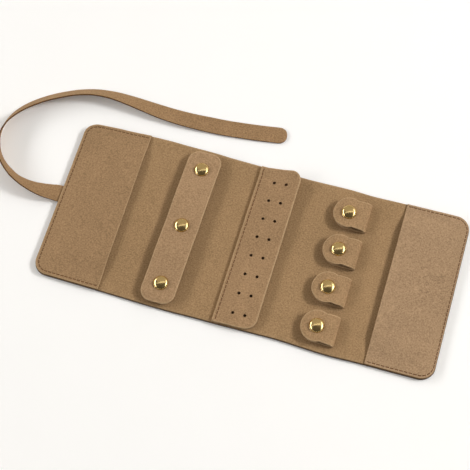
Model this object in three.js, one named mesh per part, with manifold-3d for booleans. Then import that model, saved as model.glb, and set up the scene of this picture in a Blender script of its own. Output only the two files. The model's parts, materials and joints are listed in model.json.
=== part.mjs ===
// Jewelry roll, lying open with its lining up. Millimetres, +Z up.
// X runs along the roll's length, Y across its width. The origin is at the centre of its underside.

import * as THREE from 'three';
import { mergeVertices } from 'three/addons/utils/BufferGeometryUtils.js';
import Module from 'manifold-3d';

const wasm = await Module();
wasm.setup();

// Roll: an outer cover bonded to a lining, folded along four lines.
const ROLL_LENGTH = 317.6;
const ROLL_WIDTH = 135;
const ROLL_CORNER = 11;
const COVER_THICK = 1.0;
const LINING_THICK = 1.2;
const PLY_THICK = 1.2;      // pockets, flap, ring strap and tabs are single plies
const FOLD_GAP = 0.3;       // gap between two pieces that turn against each other

// Pockets: sewn along three sides, gaping at the mouth.
const LEFT_POCKET_DEPTH = 56.3;
const RIGHT_POCKET_DEPTH = 52.2;
const POCKET_GAPE = 5.0;
const POCKET_SEAM = 5;
const POCKET_END_RISE = 20; // length over which the mouth rises from a sewn end

// Ring strap: held by three snaps, its two halves lift.
const RING_STRAP_X = -57.3;
const RING_STRAP_Y = -1.5;
const RING_STRAP_WIDTH = 27;
const RING_STRAP_LENGTH = 130.6;
const RING_STRAP_CORNER = 9;
const RING_SNAP_PITCH = 49.6;
const RING_HINGE_REACH = 9; // from the middle snap to where a half lifts

// Earring flap: sewn along its hem, with pairs of holes.
const FLAP_X = -11.6;       // sewn edge
const FLAP_DEPTH = 33.3;
const FLAP_INSET = 0.5;     // from each end to the roll's long edge
const FLAP_CORNER = 9;
const FLAP_HEM = 5.2;
const FLAP_RISE = 3.6;      // how far the free edge stands off the lining
const HOLE_DIAMETER = 2.0;
const HOLE_ROWS = 8;
const HOLE_ROW_PITCH = 15.9;
const HOLE_PAIR_PITCH = 9.6;
const HOLE_PAIR_X = 18.5;   // from the sewn edge to the middle of a pair
const HOLE_ROWS_Y = -1.5;

// Loop tabs: a strip folded back on itself, its round head snapped to its own leg.
const TAB_COUNT = 4;
const TAB_PITCH = 31.9;
const TAB_SNAP_X = 66.1;
const TAB_ROW_Y = -3.2;
const TAB_HEAD_DIAMETER = 25;
const TAB_STRIP_WIDTH = 23.4;
const TAB_CREASE_REACH = 15.8; // from the snap's axis to the outside of the crease
const TAB_ARCH_LENGTH = 4.8;   // the strip curves down to the crease over this length

// Snaps: domed cap and socket on the strap, stud on the lining, post through both.
const CAP_DIAMETER = 12.2;
const CAP_RIM = 0.5;
const CAP_DOME = 2.8;
const CAP_POST_DIAMETER = 2.8;
const SOCKET_DIAMETER = 10.4;
const SOCKET_HEIGHT = 3.4;
const SOCKET_ROOF = 0.9;
const STUD_FLANGE_DIAMETER = 9.4;
const STUD_FLANGE_THICK = 0.6;
const STUD_HEAD_DIAMETER = 5.2;
const STUD_NECK_DIAMETER = 4.4;
const STUD_PLAY = 0.5;      // round the stud's head inside the socket
const SNAP_PLAY = 0.4;      // between the socket's rim and the stud's flange
const POST_FLANGE_DIAMETER = 9.0;
const POST_FLANGE_THICK = 0.5;
const POST_DIAMETER = 2.8;
const POST_PLAY = 0.15;     // round a post in its hole
const EDGE_EASE = 0.4;      // turned-over edges of the snap's sheet metal

// Wrap strap: a flat strip sewn into the left edge, thrown round in a loose arc.
const STRAP_WIDTH = 13;
const STRAP_PLAY = 0.1;     // above and beside the strip in its notch
const STRAP_NOTCH = 14;     // length of strip caught between cover and pocket
const STRAP_SETTLE = 30;    // length over which the strip comes down from the cover to the ground
const STRAP_TIP = 6;        // length over which the tip is rounded off
const STRAP_STEP = 5;       // spacing of sections along the strip

// Route of the strip's middle: x and y from the middle of the left edge, and the lean of the
// strip in degrees: 0 lying flat at the root, 90 standing on its edge, 180 lying flat again
// with its other face up.
const STRAP_ROUTE = [
  [-3, -0.2, 0],
  [-7.8, -1.0, 12],
  [-14.4, -1.6, 23],
  [-22.5, -1.4, 37],
  [-31.2, 0, 50],
  [-40.5, 3.0, 62],
  [-48.2, 7.8, 70],
  [-54.5, 13.1, 78],
  [-59.2, 19.3, 87],
  [-62.7, 26.8, 96],
  [-64.3, 35.0, 106],
  [-64.0, 43.3, 115],
  [-61.4, 51.5, 123],
  [-56.4, 59.8, 129],
  [-48.9, 67.8, 132],
  [-39.5, 75.2, 133],
  [-28.5, 81.8, 134],
  [-15.9, 87.8, 134],
  [-2.4, 91.8, 136],
  [11.7, 93.3, 140],
  [25.9, 92.9, 147],
  [39.9, 91.8, 155],
  [53.8, 90.7, 163],
  [67.5, 90.1, 168],
  [81.1, 90.2, 172],
  [94.7, 90.9, 176],
  [108.5, 91.7, 177],
  [122.2, 93.1, 177],
  [133.9, 94.5, 178],
  [145.7, 96.2, 178],
  [158.9, 98.4, 180],
];

// Heights that follow from the thicknesses.
const LINING_TOP = COVER_THICK + LINING_THICK;
const SNAP_GAP = STUD_FLANGE_THICK + SNAP_PLAY + SOCKET_HEIGHT;
const STUD_HEIGHT = SNAP_GAP - SOCKET_ROOF - FOLD_GAP;
const RING_STRAP_UNDER = LINING_TOP + SNAP_GAP;
const TAB_LEG_TOP = LINING_TOP + PLY_THICK;
const TAB_HEAD_UNDER = TAB_LEG_TOP + SNAP_GAP;

// Places along the length that follow from the pieces.
const LEFT_EDGE = -ROLL_LENGTH / 2;
const RIGHT_EDGE = ROLL_LENGTH / 2;
const FAR_EDGE = ROLL_WIDTH / 2;
const NEAR_EDGE = -ROLL_WIDTH / 2;
const LEFT_MOUTH = LEFT_EDGE + LEFT_POCKET_DEPTH;
const RIGHT_MOUTH = RIGHT_EDGE - RIGHT_POCKET_DEPTH;
const RING_STRAP_LOW_X = RING_STRAP_X - RING_STRAP_WIDTH / 2;
const RING_STRAP_HIGH_X = RING_STRAP_X + RING_STRAP_WIDTH / 2;
const FLAP_FREE_X = FLAP_X + FLAP_DEPTH;
const FLAP_END = FAR_EDGE - FLAP_INSET;
const TAB_HEAD_LOW_X = TAB_SNAP_X - TAB_HEAD_DIAMETER / 2;
const TAB_CREASE_X = TAB_SNAP_X + TAB_CREASE_REACH;

// Each fold line lies midway between the pieces on its two sides.
const FOLDS = [
  (LEFT_MOUTH + RING_STRAP_LOW_X) / 2,
  (RING_STRAP_HIGH_X + FLAP_X) / 2,
  (FLAP_FREE_X + TAB_HEAD_LOW_X) / 2,
  (TAB_CREASE_X + RIGHT_MOUTH) / 2,
];
const PANEL_NAMES = ['left', 'ring', 'earring', 'loop', 'right'];

const material = (color, roughness, metalness = 0) =>
  new THREE.MeshStandardMaterial({ color, roughness, metalness });
const SUEDE = material(0x9d7f5b, 0.95);
const GRAINED_COVER = material(0x8a6c49, 0.6);
const BRASS = material(0xd8b24a, 0.2, 1);
const STEEL_GREY = material(0xb9b6ad, 0.35, 1);

// Geometry helpers.

function toSolid(geometry) {
  const bare = geometry.clone();
  bare.deleteAttribute('normal');
  bare.deleteAttribute('uv');
  const merged = mergeVertices(bare, 1e-4);
  return new wasm.Manifold(new wasm.Mesh({
    numProp: 3,
    vertProperties: new Float32Array(merged.attributes.position.array),
    triVerts: new Uint32Array(merged.index.array),
  }));
}

function toGeometry(solid) {
  const result = solid.getMesh();
  const geometry = new THREE.BufferGeometry();
  geometry.setAttribute('position', new THREE.BufferAttribute(result.vertProperties, 3));
  geometry.setIndex(new THREE.BufferAttribute(result.triVerts, 1));
  geometry.computeVertexNormals();
  return geometry;
}

function cut(geometry, tools) {
  return toGeometry(tools.reduce((solid, tool) => solid.subtract(toSolid(tool)), toSolid(geometry)));
}

function common(geometry, tool) {
  return toGeometry(toSolid(geometry).intersect(toSolid(tool)));
}

function prism(outline, low, height) {
  const options = { depth: height, bevelEnabled: false, curveSegments: 6 };
  return new THREE.ExtrudeGeometry(outline, options).translate(0, 0, low);
}

// A side profile in X and Z, drawn through the object from yLow to yHigh.
function sideProfile(profile, yLow, yHigh) {
  const options = { depth: yHigh - yLow, bevelEnabled: false, curveSegments: 8 };
  return new THREE.ExtrudeGeometry(profile, options).rotateX(Math.PI / 2).translate(0, yHigh, 0);
}

function roundBar(radius, low, high, x, y, sides = 16) {
  return new THREE.CylinderGeometry(radius, radius, high - low, sides)
    .rotateX(Math.PI / 2)
    .translate(x, y, (low + high) / 2);
}

// A rectangle whose low-x and high-x corners are rounded by their own radii.
function roundedOutline(xLow, xHigh, yLow, yHigh, lowRadius, highRadius) {
  const corners = [
    [xLow, yLow, lowRadius, 1, 1, Math.PI],
    [xHigh, yLow, highRadius, -1, 1, 1.5 * Math.PI],
    [xHigh, yHigh, highRadius, -1, -1, 0],
    [xLow, yHigh, lowRadius, 1, -1, 0.5 * Math.PI],
  ];
  const outline = new THREE.Shape();
  outline.moveTo(xLow, yLow + lowRadius);
  corners.forEach(([x, y, radius, inX, inY, start]) => {
    const centreX = x + inX * radius;
    const centreY = y + inY * radius;
    outline.lineTo(centreX + radius * Math.cos(start), centreY + radius * Math.sin(start));
    if (radius > 0) {
      outline.absarc(centreX, centreY, radius, start, start + Math.PI / 2, false);
    }
  });
  outline.closePath();
  return outline;
}

function revolve(points, x, y, z, sides = 16) {
  const profile = points.map(([radius, height]) => new THREE.Vector2(radius, height));
  return new THREE.LatheGeometry(profile, sides).rotateX(Math.PI / 2).translate(x, y, z);
}

// Joins rings of points, each with as many points as the next, into one closed solid.
function skin(rings) {
  const count = rings[0].length;
  const positions = rings.flat().flatMap((point) => [point.x, point.y, point.z]);
  const index = [];
  for (let ring = 0; ring + 1 < rings.length; ring += 1) {
    for (let side = 0; side < count; side += 1) {
      const a = ring * count + side;
      const b = ring * count + (side + 1) % count;
      index.push(a, b, b + count, a, b + count, a + count);
    }
  }
  const last = (rings.length - 1) * count;
  for (let side = 1; side + 1 < count; side += 1) {
    index.push(0, side + 1, side, last, last + side, last + side + 1);
  }
  const geometry = new THREE.BufferGeometry();
  geometry.setAttribute('position', new THREE.Float32BufferAttribute(positions, 3));
  geometry.setIndex(index);
  geometry.computeVertexNormals();
  return geometry;
}

const roll = new THREE.Group();
const panels = PANEL_NAMES.map(() => new THREE.Group());
roll.add(...panels);
const [leftPanel, ringPanel, earringPanel, loopPanel, rightPanel] = panels;

function addPiece(group, name, geometry, finish) {
  const mesh = new THREE.Mesh(geometry, finish);
  mesh.name = name;
  group.add(mesh);
}

// Places of the snaps.

const ringSnaps = ['near', 'centre', 'far'].map((place, index) => ({
  name: `ring_snap_${place}`,
  x: RING_STRAP_X,
  y: RING_STRAP_Y + (index - 1) * RING_SNAP_PITCH,
}));

const tabs = Array.from({ length: TAB_COUNT }, (_, index) => ({
  name: `loop_tab_${index + 1}`,
  snap: {
    name: `tab_snap_${index + 1}`,
    x: TAB_SNAP_X,
    y: TAB_ROW_Y + ((TAB_COUNT - 1) / 2 - index) * TAB_PITCH,
  },
}));

// Cover and lining panels.

function panelOutline(index) {
  const first = index === 0;
  const last = index === PANEL_NAMES.length - 1;
  const xLow = first ? LEFT_EDGE : FOLDS[index - 1] + FOLD_GAP / 2;
  const xHigh = last ? RIGHT_EDGE : FOLDS[index] - FOLD_GAP / 2;
  const lowRadius = first ? ROLL_CORNER : 0;
  const highRadius = last ? ROLL_CORNER : 0;
  return roundedOutline(xLow, xHigh, NEAR_EDGE, FAR_EDGE, lowRadius, highRadius);
}

// The lining is cut out round each post, and round the flange that lies under it.
function postCuts(snap) {
  return [
    roundBar(POST_DIAMETER / 2 + POST_PLAY, 0, LINING_TOP + PLY_THICK, snap.x, snap.y),
    roundBar(POST_FLANGE_DIAMETER / 2 + POST_PLAY, 0, COVER_THICK + POST_FLANGE_THICK, snap.x, snap.y),
  ];
}

function strapNotch() {
  const half = STRAP_WIDTH / 2 + STRAP_PLAY;
  const outline = roundedOutline(LEFT_EDGE - ROLL_CORNER, LEFT_EDGE + STRAP_NOTCH, -half, half, 0, 0);
  return prism(outline, 0, ROLL_LENGTH);
}

const liningCuts = {
  left: [strapNotch()],
  ring: ringSnaps.flatMap(postCuts),
  loop: tabs.flatMap((tab) => postCuts(tab.snap)),
};

PANEL_NAMES.forEach((name, index) => {
  const outline = panelOutline(index);
  const lining = prism(outline, COVER_THICK, LINING_THICK);
  const cuts = liningCuts[name];
  addPiece(panels[index], `outer_cover_${name}`, prism(outline, 0, COVER_THICK), GRAINED_COVER);
  addPiece(panels[index], `lining_${name}`, cuts ? cut(lining, cuts) : lining, SUEDE);
});

// Pockets: a ply lying on the lining along its seams and standing off it towards the mouth.

function pocketGape(fromBack, depth, y) {
  const inward = THREE.MathUtils.clamp((fromBack - POCKET_SEAM) / (depth - POCKET_SEAM), 0, 1);
  const fromEnd = FAR_EDGE - Math.abs(y) - POCKET_SEAM;
  return POCKET_GAPE * Math.sin(inward * Math.PI / 2)
    * THREE.MathUtils.smoothstep(fromEnd, 0, POCKET_END_RISE);
}

// The pocket is skinned across its width: each ring runs along its underside and back over its top.
function pocketPly(backX, mouthX, outline) {
  const depth = Math.abs(mouthX - backX);
  const toMouth = Math.sign(mouthX - backX);
  const steps = [0, 0.2, 0.4, 0.6, 0.8, 1];
  const stations = [0, ...steps.map((share) => POCKET_SEAM + share * (depth - POCKET_SEAM))];
  const ends = [0, ...steps.map((share) => POCKET_SEAM + share * POCKET_END_RISE)];
  const across = [...ends.map((y) => NEAR_EDGE + y), 0, ...ends.map((y) => FAR_EDGE - y).reverse()];
  const rings = across.map((y) => {
    const under = stations.map((reach) => new THREE.Vector3(
      backX + toMouth * reach, y, LINING_TOP + pocketGape(reach, depth, y)));
    const over = under.map((point) => point.clone().setZ(point.z + PLY_THICK));
    const ring = [...under, ...over.reverse()];
    return toMouth > 0 ? ring.reverse() : ring;
  });
  return common(skin(rings), prism(outline, 0, ROLL_LENGTH));
}

addPiece(leftPanel, 'left_pocket', pocketPly(LEFT_EDGE, LEFT_MOUTH,
  roundedOutline(LEFT_EDGE, LEFT_MOUTH, NEAR_EDGE, FAR_EDGE, ROLL_CORNER, 0)), SUEDE);
addPiece(rightPanel, 'right_pocket', pocketPly(RIGHT_EDGE, RIGHT_MOUTH,
  roundedOutline(RIGHT_MOUTH, RIGHT_EDGE, NEAR_EDGE, FAR_EDGE, 0, ROLL_CORNER)), SUEDE);

// Snaps. Each piece is revolved about the snap's axis.

function addCap(group, snap, strapUnder) {
  const radius = CAP_DIAMETER / 2;
  const post = CAP_POST_DIAMETER / 2;
  const dome = [0, 0.3, 0.6, 0.85, 1].map((share) => {
    const angle = share * Math.PI / 2;
    return [radius * Math.cos(angle), CAP_RIM + (CAP_DOME - CAP_RIM) * Math.sin(angle)];
  });
  dome[dome.length - 1][0] = 0;
  const points = [
    [0, -PLY_THICK - SOCKET_ROOF],
    [post, -PLY_THICK - SOCKET_ROOF],
    [post, 0],
    [radius - EDGE_EASE, 0],
    ...dome,
  ];
  addPiece(group, `${snap.name}_cap`, revolve(points, snap.x, snap.y, strapUnder + PLY_THICK), BRASS);
}

function addSocket(group, snap, strapUnder) {
  const outer = SOCKET_DIAMETER / 2;
  const bore = CAP_POST_DIAMETER / 2 + POST_PLAY;
  const cavity = STUD_HEAD_DIAMETER / 2 + STUD_PLAY;
  const points = [
    [bore, -SOCKET_ROOF],
    [cavity, -SOCKET_ROOF],
    [cavity, -SOCKET_HEIGHT],
    [outer - EDGE_EASE, -SOCKET_HEIGHT],
    [outer, -SOCKET_HEIGHT + EDGE_EASE],
    [outer, -EDGE_EASE],
    [outer - EDGE_EASE, 0],
    [bore, 0],
    [bore, -SOCKET_ROOF],
  ];
  addPiece(group, `${snap.name}_socket`, revolve(points, snap.x, snap.y, strapUnder), STEEL_GREY);
}

function addStud(group, snap, seat) {
  const bore = POST_DIAMETER / 2 + POST_PLAY;
  const head = STUD_HEAD_DIAMETER / 2;
  const neck = STUD_NECK_DIAMETER / 2;
  const points = [
    [bore, 0],
    [STUD_FLANGE_DIAMETER / 2, 0],
    [STUD_FLANGE_DIAMETER / 2, STUD_FLANGE_THICK],
    [neck, STUD_FLANGE_THICK],
    [neck, STUD_HEIGHT / 2],
    [head, STUD_HEIGHT / 2 + EDGE_EASE],
    [head, STUD_HEIGHT - EDGE_EASE],
    [head - EDGE_EASE, STUD_HEIGHT],
    [bore, STUD_HEIGHT],
    [bore, 0],
  ];
  addPiece(group, `${snap.name}_stud`, revolve(points, snap.x, snap.y, seat), STEEL_GREY);
}

// The post's flange lies on the cover, under the lining, and its barrel ends in the stud.
function addPost(group, snap, seat) {
  const top = seat + STUD_HEIGHT - COVER_THICK;
  const points = [
    [0, 0],
    [POST_FLANGE_DIAMETER / 2, 0],
    [POST_FLANGE_DIAMETER / 2, POST_FLANGE_THICK],
    [POST_DIAMETER / 2, POST_FLANGE_THICK],
    [POST_DIAMETER / 2, top],
    [0, top],
  ];
  addPiece(group, `${snap.name}_post`, revolve(points, snap.x, snap.y, COVER_THICK), STEEL_GREY);
}

function capHole(snap, strapUnder) {
  const radius = CAP_POST_DIAMETER / 2 + POST_PLAY;
  return roundBar(radius, strapUnder - PLY_THICK, strapUnder + 2 * PLY_THICK, snap.x, snap.y);
}

// Ring strap: one rounded strip in three lengths.

const ringStrapEnds = {
  near: RING_STRAP_Y - RING_STRAP_LENGTH / 2,
  far: RING_STRAP_Y + RING_STRAP_LENGTH / 2,
};
const ringStrip = prism(roundedOutline(RING_STRAP_LOW_X, RING_STRAP_HIGH_X, ringStrapEnds.near,
  ringStrapEnds.far, RING_STRAP_CORNER, RING_STRAP_CORNER), RING_STRAP_UNDER, PLY_THICK);

function ringStrapLength(yLow, yHigh, snap) {
  const reach = roundedOutline(RING_STRAP_LOW_X - PLY_THICK, RING_STRAP_HIGH_X + PLY_THICK, yLow, yHigh, 0, 0);
  return cut(common(ringStrip, prism(reach, 0, ROLL_LENGTH)), [capHole(snap, RING_STRAP_UNDER)]);
}

const [nearSnap, centreSnap, farSnap] = ringSnaps;
const nearHinge = RING_STRAP_Y - RING_HINGE_REACH;
const farHinge = RING_STRAP_Y + RING_HINGE_REACH;
const ringFarHalf = new THREE.Group();
const ringNearHalf = new THREE.Group();
ringPanel.add(ringFarHalf, ringNearHalf);

addPiece(ringPanel, 'ring_strap_centre',
  ringStrapLength(nearHinge + FOLD_GAP / 2, farHinge - FOLD_GAP / 2, centreSnap), SUEDE);
addPiece(ringFarHalf, 'ring_strap_far',
  ringStrapLength(farHinge + FOLD_GAP / 2, ringStrapEnds.far + PLY_THICK, farSnap), SUEDE);
addPiece(ringNearHalf, 'ring_strap_near',
  ringStrapLength(ringStrapEnds.near - PLY_THICK, nearHinge - FOLD_GAP / 2, nearSnap), SUEDE);

[[ringNearHalf, nearSnap], [ringPanel, centreSnap], [ringFarHalf, farSnap]].forEach(([group, snap]) => {
  addCap(group, snap, RING_STRAP_UNDER);
  addSocket(group, snap, RING_STRAP_UNDER);
  addStud(ringPanel, snap, LINING_TOP);
  addPost(ringPanel, snap, LINING_TOP);
});

// Earring flap: a sewn hem, and a ply that rises from it to the free edge.

const flapHinge = FLAP_X + FLAP_HEM;
const flapOutline = roundedOutline(FLAP_X, FLAP_FREE_X, -FLAP_END, FLAP_END, 0, FLAP_CORNER);
const flapGroup = new THREE.Group();
earringPanel.add(flapGroup);

function flapHem() {
  const outline = roundedOutline(FLAP_X, flapHinge - FOLD_GAP / 2, -FLAP_END, FLAP_END, 0, 0);
  return prism(outline, LINING_TOP, PLY_THICK);
}

function earringHoles() {
  const holes = [];
  for (let row = 0; row < HOLE_ROWS; row += 1) {
    const y = HOLE_ROWS_Y + ((HOLE_ROWS - 1) / 2 - row) * HOLE_ROW_PITCH;
    for (const side of [-0.5, 0.5]) {
      const x = FLAP_X + HOLE_PAIR_X + side * HOLE_PAIR_PITCH;
      holes.push(roundBar(HOLE_DIAMETER / 2, 0, LINING_TOP + FLAP_RISE + 4 * PLY_THICK, x, y, 8));
    }
  }
  return holes;
}

function earringFlap() {
  const start = flapHinge + FOLD_GAP / 2;
  const middle = (start + FLAP_FREE_X) / 2;
  const profile = new THREE.Shape();
  profile.moveTo(start, LINING_TOP);
  profile.quadraticCurveTo(middle, LINING_TOP + FLAP_RISE / 2, FLAP_FREE_X, LINING_TOP + FLAP_RISE);
  profile.lineTo(FLAP_FREE_X, LINING_TOP + FLAP_RISE + PLY_THICK);
  profile.quadraticCurveTo(middle, LINING_TOP + FLAP_RISE / 2 + PLY_THICK, start, LINING_TOP + PLY_THICK);
  profile.closePath();
  const ply = sideProfile(profile, -FLAP_END, FLAP_END);
  return cut(common(ply, prism(flapOutline, 0, ROLL_LENGTH)), earringHoles());
}

addPiece(earringPanel, 'earring_flap_hem', flapHem(), SUEDE);
addPiece(flapGroup, 'earring_flap', earringFlap(), SUEDE);

// Loop tabs: the leg lies on the lining, the head and arch swing up about the crease.

function tabLeg(snap) {
  const half = TAB_STRIP_WIDTH / 2;
  const outline = roundedOutline(snap.x - half, TAB_CREASE_X, snap.y - half, snap.y + half, half, 0);
  const hole = roundBar(POST_DIAMETER / 2 + POST_PLAY, 0, TAB_HEAD_UNDER, snap.x, snap.y);
  return cut(prism(outline, LINING_TOP, PLY_THICK), [hole]);
}

// Plan of the head: a disc that runs into a strip a little narrower than itself.
function tabOutline(snap) {
  const radius = TAB_HEAD_DIAMETER / 2;
  const half = TAB_STRIP_WIDTH / 2;
  const neck = Math.asin(half / radius);
  const outline = new THREE.Shape();
  outline.moveTo(TAB_CREASE_X + PLY_THICK, snap.y + half);
  outline.lineTo(snap.x + radius * Math.cos(neck), snap.y + half);
  outline.absarc(snap.x, snap.y, radius, neck, 2 * Math.PI - neck, false);
  outline.lineTo(TAB_CREASE_X + PLY_THICK, snap.y - half);
  outline.closePath();
  return outline;
}

function tabHead(snap) {
  const start = TAB_HEAD_LOW_X - PLY_THICK;
  const foot = TAB_LEG_TOP + FOLD_GAP;
  const inside = TAB_CREASE_X - PLY_THICK;
  const turn = inside - TAB_ARCH_LENGTH;
  const height = TAB_HEAD_UNDER - foot;
  const profile = new THREE.Shape();
  profile.moveTo(start, TAB_HEAD_UNDER);
  profile.lineTo(turn, TAB_HEAD_UNDER);
  profile.absellipse(turn, foot, TAB_ARCH_LENGTH, height, Math.PI / 2, 0, true);
  profile.lineTo(TAB_CREASE_X, foot);
  profile.absellipse(turn, foot, TAB_ARCH_LENGTH + PLY_THICK, height + PLY_THICK, 0, Math.PI / 2, false);
  profile.lineTo(start, TAB_HEAD_UNDER + PLY_THICK);
  profile.closePath();
  const half = TAB_HEAD_DIAMETER / 2 + PLY_THICK;
  const ply = sideProfile(profile, snap.y - half, snap.y + half);
  return cut(common(ply, prism(tabOutline(snap), 0, ROLL_LENGTH)), [capHole(snap, TAB_HEAD_UNDER)]);
}

tabs.forEach((tab) => {
  const head = new THREE.Group();
  loopPanel.add(head);
  addPiece(loopPanel, `${tab.name}_leg`, tabLeg(tab.snap), SUEDE);
  addPiece(head, tab.name, tabHead(tab.snap), SUEDE);
  addCap(head, tab.snap, TAB_HEAD_UNDER);
  addSocket(head, tab.snap, TAB_HEAD_UNDER);
  addStud(loopPanel, tab.snap, TAB_LEG_TOP);
  addPost(loopPanel, tab.snap, TAB_LEG_TOP);
});

// Wrap strap: flat sections carried along the route, each leaning as the route says.

const strapThick = LINING_THICK - STRAP_PLAY;
const strapRoute = [[STRAP_NOTCH - STRAP_PLAY, 0, STRAP_ROUTE[0][2]], ...STRAP_ROUTE];

function strapLean(share) {
  const place = share * (strapRoute.length - 1);
  const before = Math.min(Math.floor(place), strapRoute.length - 2);
  const lean = THREE.MathUtils.lerp(strapRoute[before][2], strapRoute[before + 1][2], place - before);
  return THREE.MathUtils.degToRad(lean);
}

// Near the edge the strip lies on the cover, and further out its lower edge is on the ground.
function strapRing(point, tangent, lean, travelled, width) {
  const outward = new THREE.Vector3(-tangent.y, tangent.x, 0).normalize();
  const across = outward.clone().multiplyScalar(Math.cos(lean)).setZ(Math.sin(lean));
  const up = outward.clone().multiplyScalar(-Math.sin(lean)).setZ(Math.cos(lean));
  const settled = THREE.MathUtils.smoothstep(travelled, STRAP_NOTCH + STRAP_STEP, STRAP_NOTCH + STRAP_SETTLE);
  const lift = COVER_THICK * (1 - settled);
  const rest = (STRAP_WIDTH * Math.sin(lean) + strapThick * Math.abs(Math.cos(lean))) / 2;
  const middle = new THREE.Vector3(point.x, point.y, lift + rest);
  return [[-1, -1], [1, -1], [1, 1], [-1, 1]].map(([side, face]) => middle.clone()
    .addScaledVector(across, side * width / 2)
    .addScaledVector(up, face * strapThick / 2));
}

// Distances along the strip, with a finer step round its tip.
function strapStations(length) {
  const steps = Math.round((length - STRAP_TIP) / STRAP_STEP);
  const body = Array.from({ length: steps + 1 }, (_, step) => step / steps * (length - STRAP_TIP));
  const tip = [30, 55, 75, 88].map((angle) => length - STRAP_TIP * (1 - Math.sin(THREE.MathUtils.degToRad(angle))));
  return [...body, ...tip];
}

function wrapStrap() {
  const points = strapRoute.map(([x, y]) => new THREE.Vector3(LEFT_EDGE + x, y, 0));
  const plan = new THREE.CatmullRomCurve3(points, false, 'centripetal');
  const length = plan.getLength();
  const rings = strapStations(length).map((travelled) => {
    const share = plan.getUtoTmapping(travelled / length);
    const intoTip = Math.max(0, travelled - (length - STRAP_TIP)) / STRAP_TIP;
    const width = STRAP_WIDTH * Math.sqrt(1 - intoTip ** 2);
    return strapRing(plan.getPoint(share), plan.getTangent(share), strapLean(share), travelled, width);
  });
  return skin(rings);
}

addPiece(leftPanel, 'wrap_strap', wrapStrap(), SUEDE);

export default roll;
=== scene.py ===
import json
import math

import bmesh
import bpy
from mathutils import Matrix, Vector, noise
from mathutils.geometry import interpolate_bezier


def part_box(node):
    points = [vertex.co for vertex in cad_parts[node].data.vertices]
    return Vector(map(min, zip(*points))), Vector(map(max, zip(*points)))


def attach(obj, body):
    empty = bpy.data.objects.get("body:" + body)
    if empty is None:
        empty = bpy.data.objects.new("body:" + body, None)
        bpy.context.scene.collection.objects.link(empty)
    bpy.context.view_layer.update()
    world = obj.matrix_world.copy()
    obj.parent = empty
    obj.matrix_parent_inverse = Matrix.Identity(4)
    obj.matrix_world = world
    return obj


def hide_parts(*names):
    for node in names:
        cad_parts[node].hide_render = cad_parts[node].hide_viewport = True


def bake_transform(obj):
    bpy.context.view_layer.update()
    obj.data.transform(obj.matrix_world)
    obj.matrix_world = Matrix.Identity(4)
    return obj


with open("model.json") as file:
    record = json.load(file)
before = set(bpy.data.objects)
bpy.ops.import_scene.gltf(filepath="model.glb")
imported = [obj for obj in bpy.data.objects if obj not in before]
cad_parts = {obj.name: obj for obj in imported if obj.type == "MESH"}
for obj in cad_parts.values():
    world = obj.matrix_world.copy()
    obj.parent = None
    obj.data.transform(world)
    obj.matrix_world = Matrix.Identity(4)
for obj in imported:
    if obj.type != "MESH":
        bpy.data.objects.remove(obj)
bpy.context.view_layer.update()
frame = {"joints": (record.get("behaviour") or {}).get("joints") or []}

MM = 0.001
scene = bpy.context.scene
scene.view_settings.view_transform = "Standard"


def span(node):
    """Lowest and highest corner of a CAD node, in millimetres."""
    low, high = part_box(node)
    return low / MM, high / MM


def middle(node):
    """Centre of a CAD node, in millimetres."""
    low, high = span(node)
    return (low + high) / 2


JOINT_AT = {joint["name"]: [place / MM for place in joint["pos_m"]] for joint in frame["joints"]}
FOLDS = ("ring_panel_fold", "earring_panel_fold", "loop_panel_fold", "right_panel_fold")

# The roll itself.
LEFT_EDGE = span("lining_left")[0].x
RIGHT_TRIM = 0.6        # the right end is cut this much short of the pattern
RIGHT_EDGE = span("lining_right")[1].x - RIGHT_TRIM
HALF_WIDTH = span("lining_ring")[1].y
COVER_TOP = span("outer_cover_ring")[1].z
LINING_TOP = span("lining_ring")[1].z
CORNER = 11.0           # radius of the roll's corners
COVER_PROUD = 0.5       # how far the cover's dyed edge stands out round the lining
EDGE_CURL = 1.1         # most that a free edge of the roll lifts off the table
EDGE_REACH = 20.0       # how far in from the edge it begins to lift
FOLD_RIPPLE = 0.55      # low ridge that rolling up has left along each fold line
FOLD_REACH = 8.0        # how far that ridge spreads to each side

# Pockets. A skew is how far a piece is sewn off its mark, and how much farther for each millimetre
# of y. A slack is the height and the size of the bumps in a ply that isn't taut.
PLY = span("ring_strap_far")[1].z - span("ring_strap_far")[0].z
LEFT_MOUTH = span("left_pocket")[1].x
RIGHT_MOUTH = span("right_pocket")[0].x
POCKET_GAPE = 3.0       # how far a mouth stands open
LEFT_LIP = 1.1          # how far the last eighth of a ply dips again, at its mouth
RIGHT_LIP = 0.0
LEFT_MOUTH_SKEW = (-1.8, -0.005)
RIGHT_MOUTH_SKEW = (0.4, 0.005)
POCKET_SEAM = 5.0       # width that is sewn flat
POCKET_RISE = 20.0      # width beside a side seam over which the mouth opens
POCKET_EASE = 8.0       # distance from a seam over which the ply comes free
POCKET_SLACK = (0.22, 17.0)

# Sewing. The size of a thread, or of a dark bead of painted shade in a needle hole, is half its
# length, width and height.
STITCH_PITCH = 3.5
STITCH_THREAD = (1.0, 0.48, 0.32)
STITCH_HOLE_SHADE = (0.4, 0.45, 0.2)
STITCH_HOLE_SHADE_AT = (0.22, 0.78)   # shares of the pitch
STITCH_SINK = (0.05, 0.06)      # how deep the thread lies in the upper ply, and in the cover
LEFT_STITCH_INSET = (2.5, 2.5)  # at the outer end, and along the sides
RIGHT_STITCH_INSET = (1.2, 2.0)
SEAM_END = 1.5          # how far short of the ply's edge a seam ends
SEAM_GROOVE = 0.12      # how deep the thread draws the ply in
SEAM_GROOVE_WIDE = 0.9

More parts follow.
